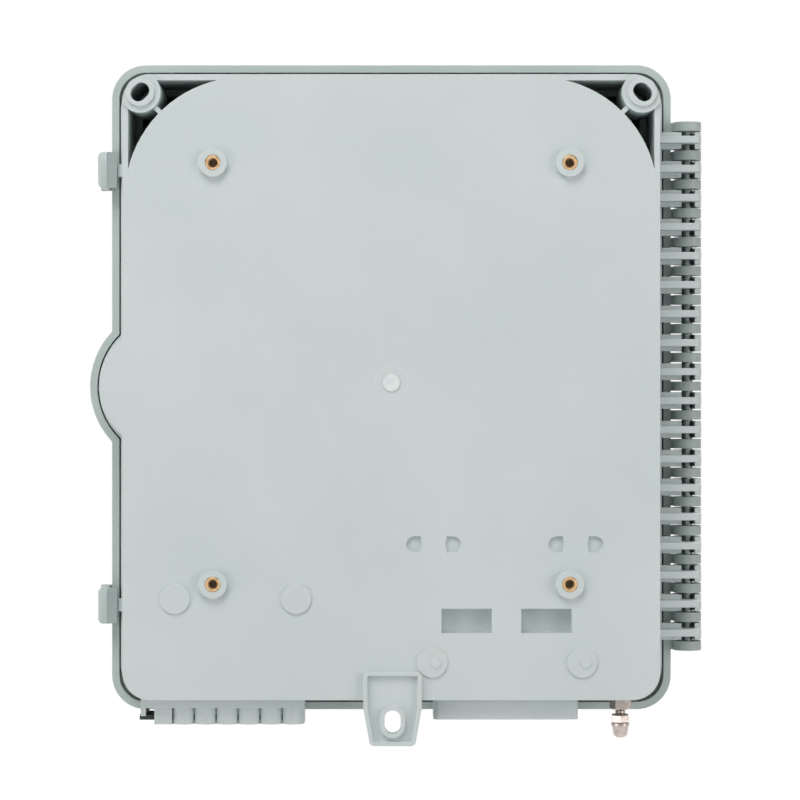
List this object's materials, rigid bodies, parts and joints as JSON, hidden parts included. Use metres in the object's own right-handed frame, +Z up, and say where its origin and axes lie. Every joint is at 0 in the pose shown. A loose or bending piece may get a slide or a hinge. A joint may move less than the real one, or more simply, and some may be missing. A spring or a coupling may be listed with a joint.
{
  "type": "fibre splice box",
  "caption": "Wall-mounted fibre splice box with a comb-hinged cover, snap latches, a niche lock, swing-out adapter panel, splice tray and sealed cable entries below.",
  "frame": {"origin": "centre of the four-insert bracket pattern, in the wall plane behind the box", "axes": "+X to the right seen from the cover side, +Y towards the wall, +Z up"},
  "size_m": [0.2964, 0.098, 0.325],
  "materials": {
    "base_plastic": "fine grained pale grey",
    "cover_plastic": "fine grained grey",
    "latch_plastic": "smooth pale grey",
    "brass": "knurled, worn",
    "nickel": "plated",
    "black_rubber": "matte",
    "grey_silicone": "soft matte",
    "dark_steel": "blackened",
    "steel": "plain",
    "zinc": "satin",
    "inner_plastic": "pale grey",
    "adapter_plastic": "blue",
    "cap_plastic": "white",
    "module_plastic": "dark grey",
    "holder_rubber": "soft",
    "clear_plastic": "clear"
  },
  "bodies": {
    "base": {"base_housing": "base_plastic", "hinge_knuckles": "base_plastic", "latch_keepers": "base_plastic", "main_entry_block": "base_plastic", "drop_entry_block": "base_plastic", "corner_screw_cups": "base_plastic", "insert_bosses": "base_plastic", "mounting_ear": "base_plastic", "lock_strike": "base_plastic", "bracket_inserts": "brass", "earth_stud": "nickel", "earth_lock_nuts": "nickel", "earth_cap_nut": "nickel", "drop_port_seal": "black_rubber", "main_port_glands": "black_rubber", "clamp_bases": "inner_plastic", "clamp_straps": "inner_plastic", "clamp_screws": "steel", "fibre_guides": "inner_plastic", "frame_bracket": "inner_plastic"},
    "door": {"cover": "cover_plastic", "hinge_rings": "cover_plastic", "latch_lugs": "cover_plastic", "cover_gasket": "grey_silicone", "hinge_rod": "dark_steel", "latch_pins": "steel", "lock_barrel": "zinc"},
    "upper_latch": {"latch_upper": "latch_plastic"},
    "lower_latch": {"latch_lower": "latch_plastic"},
    "lock": {"lock_plug": "zinc", "lock_cam": "steel", "cam_nut": "steel"},
    "panel": {"adapter_panel": "inner_plastic", "adapters": "adapter_plastic", "dust_caps": "cap_plastic", "splitter_module": "module_plastic"},
    "tray": {"splice_tray": "inner_plastic", "splice_holder": "holder_rubber", "tray_lid": "clear_plastic"}
  },
  "joints": [
    {"name": "cover_hinge", "type": "hinge", "parent": "base", "child": "door", "pos_m": [-0.1433, -0.041, 0], "axis": [0, 0, -1], "range_deg": [0, 135]},
    {"name": "upper_latch_pivot", "type": "hinge", "parent": "door", "child": "upper_latch", "pos_m": [0.139, -0.053, 0.0982], "axis": [0, 0, -1], "range_deg": [-4.5, 100]},
    {"name": "lower_latch_pivot", "type": "hinge", "parent": "door", "child": "lower_latch", "pos_m": [0.139, -0.053, -0.1117], "axis": [0, 0, -1], "range_deg": [-4.5, 100]},
    {"name": "lock_turn", "type": "hinge", "parent": "door", "child": "lock", "pos_m": [0.1075, -0.06, -0.0062], "axis": [0, 1, 0], "range_deg": [0, 90]},
    {"name": "panel_swing", "type": "hinge", "parent": "base", "child": "panel", "pos_m": [-0.11, -0.047, 0.0068], "axis": [0, 0, -1], "range_deg": [0, 90]},
    {"name": "tray_swing", "type": "hinge", "parent": "base", "child": "tray", "pos_m": [-0.11, -0.018, 0.0068], "axis": [0, 0, -1], "range_deg": [0, 45]}
  ],
  "couplings": [
    {"joint": "panel_swing", "follows": "cover_hinge", "ratio": 0.6},
    {"joint": "tray_swing", "follows": "cover_hinge", "ratio": 0.3}
  ]
}
